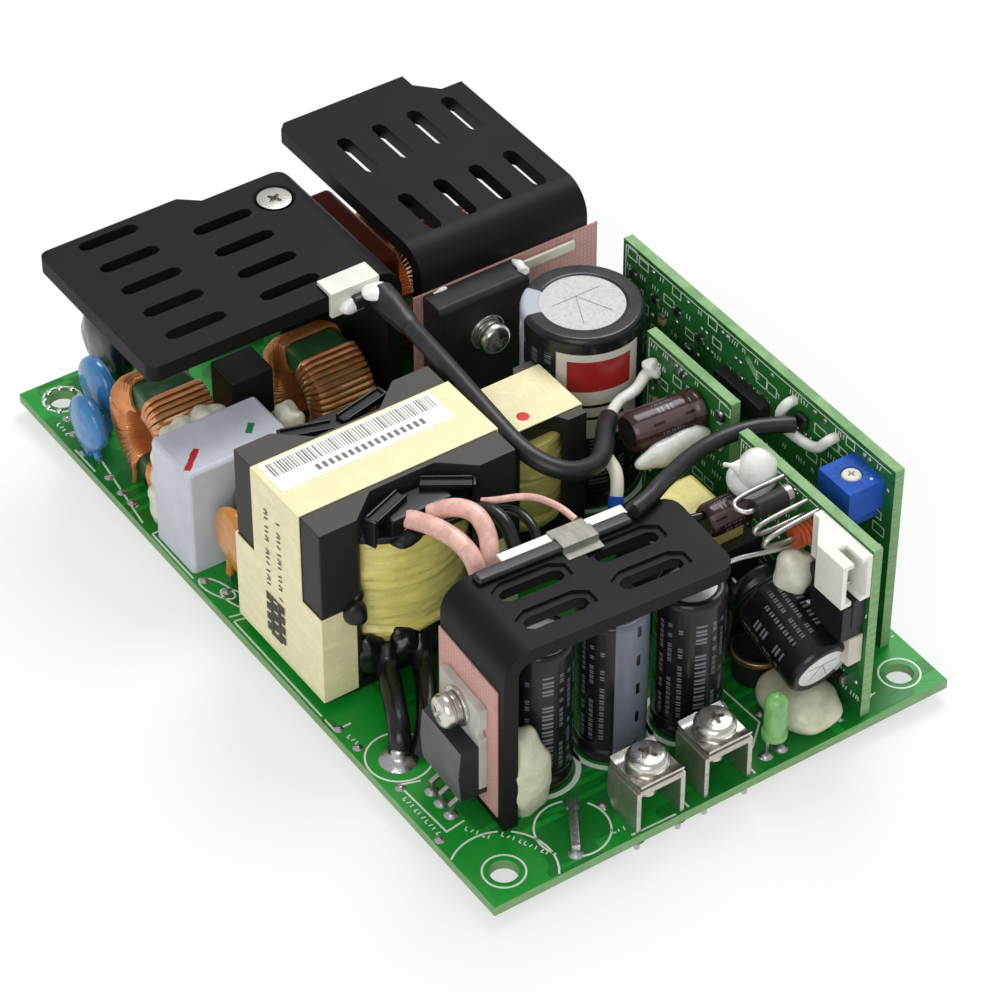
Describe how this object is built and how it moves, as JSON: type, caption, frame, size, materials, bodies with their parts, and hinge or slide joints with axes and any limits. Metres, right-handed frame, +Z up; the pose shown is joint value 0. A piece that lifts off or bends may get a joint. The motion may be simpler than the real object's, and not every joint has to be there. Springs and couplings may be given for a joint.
{
  "type": "open frame power supply",
  "caption": "Open frame power supply on a green board with black slotted heatsinks, a taped transformer, toroid chokes and screw terminals.",
  "frame": {"origin": "centre of the four board mounting holes, on the board's underside", "axes": "+X along the board from the mains input to the output terminals, +Y across the board towards the upright cards, +Z up from the board"},
  "size_m": [0.1271, 0.0762, 0.0374],
  "materials": {
    "board_green": "glossy solder mask over glass laminate",
    "solder": "bright solder",
    "black_aluminium": "satin black anodised sheet",
    "plated_screw": "bright nickel plating",
    "brass_post": "turned brass",
    "pink_sheet": "matt silicone sheet",
    "package_black": "moulded epoxy",
    "plated_tab": "tinned copper",
    "tinned_lead": "tinned wire",
    "ferrite": "ground ferrite",
    "bobbin_black": "moulded phenolic",
    "yellow_tape": "polyester tape",
    "sleeve_black": "shrunk sleeve",
    "toroid_green": "painted toroid",
    "copper_wire": "enamelled copper wire",
    "film_grey": "moulded box",
    "filter_black": "moulded box",
    "film_red": "dipped box",
    "disc_blue": "dipped epoxy",
    "disc_orange": "dipped epoxy",
    "disc_green": "dipped epoxy",
    "disc_black": "dipped epoxy",
    "header_white": "moulded nylon",
    "fuse_ceramic": "glazed tube with plated caps",
    "can_sleeve": "shrunk sleeve on an aluminium can",
    "brown_sleeve": "shrunk sleeve on an aluminium can",
    "drum_ferrite": "ferrite drum with a bronze rim",
    "card_green": "solder mask over glass laminate",
    "chip_black": "moulded packages",
    "wire_white": "wire insulation",
    "trimmer_blue": "moulded housing",
    "rotor_white": "moulded rotor",
    "terminal_plate": "nickel plating",
    "lamp_green": "tinted clear resin",
    "glue": "set fixing glue"
  },
  "bodies": {
    "supply": {"main_board": "board_green", "solder_joints": "solder", "heatsink_input": "black_aluminium", "heatsink_primary": "black_aluminium", "heatsink_output": "black_aluminium", "heatsink_screw": "plated_screw", "heatsink_post": "brass_post", "insulator_sheets": "pink_sheet", "power_transistor": "package_black", "output_transistor": "package_black", "output_transistor_tab": "plated_tab", "clamp_screws": "plated_screw", "clamp_washers": "plated_screw", "bridge_rectifier": "package_black", "device_leads": "tinned_lead", "transformer_core": "ferrite", "transformer_bobbin": "bobbin_black", "transformer_tape": "yellow_tape", "transformer_leads": "sleeve_black", "taped_windings": "yellow_tape", "choke_core": "ferrite", "choke_tape": "yellow_tape", "winding_bases": "bobbin_black", "line_choke_cores": "toroid_green", "line_choke_windings": "copper_wire", "boost_choke_core": "toroid_green", "boost_choke_winding": "copper_wire", "line_film_capacitor": "film_grey", "filter_block": "filter_black", "rail_film_capacitor": "film_red", "blue_disc_capacitors": "disc_blue", "orange_disc_capacitor": "disc_orange", "inrush_disc": "disc_green", "surge_disc": "disc_black", "mains_header": "header_white", "mains_pins": "tinned_lead", "mains_fuse": "fuse_ceramic", "bulk_capacitor": "can_sleeve", "output_capacitors": "can_sleeve", "lying_capacitor": "can_sleeve", "brown_capacitors": "brown_sleeve", "drum_inductor": "drum_ferrite", "aux_transformer": "yellow_tape", "upright_boards": "card_green", "surface_parts": "chip_black", "axial_parts": "package_black", "insulated_wires": "wire_white", "trimmer_body": "trimmer_blue", "fan_header": "header_white", "terminal_frames": "terminal_plate", "terminal_plates": "terminal_plate", "terminal_screws": "plated_screw", "indicator_lamp": "lamp_green", "flat_link": "tinned_lead", "mains_sensor_lead": "sleeve_black", "output_sensor_lead": "sleeve_black", "sensor_clip": "header_white", "sensor_heads": "sleeve_black", "glue_and_tape": "glue"},
    "trimmer_rotor": {"trimmer_rotor": "rotor_white"}
  },
  "joints": [
    {"name": "trimmer_turn", "type": "hinge", "parent": "supply", "child": "trimmer_rotor", "pos_m": [0.04775, 0.0313, 0.0315], "axis": [0, 0, 1], "range_deg": [-130, 130]}
  ]
}
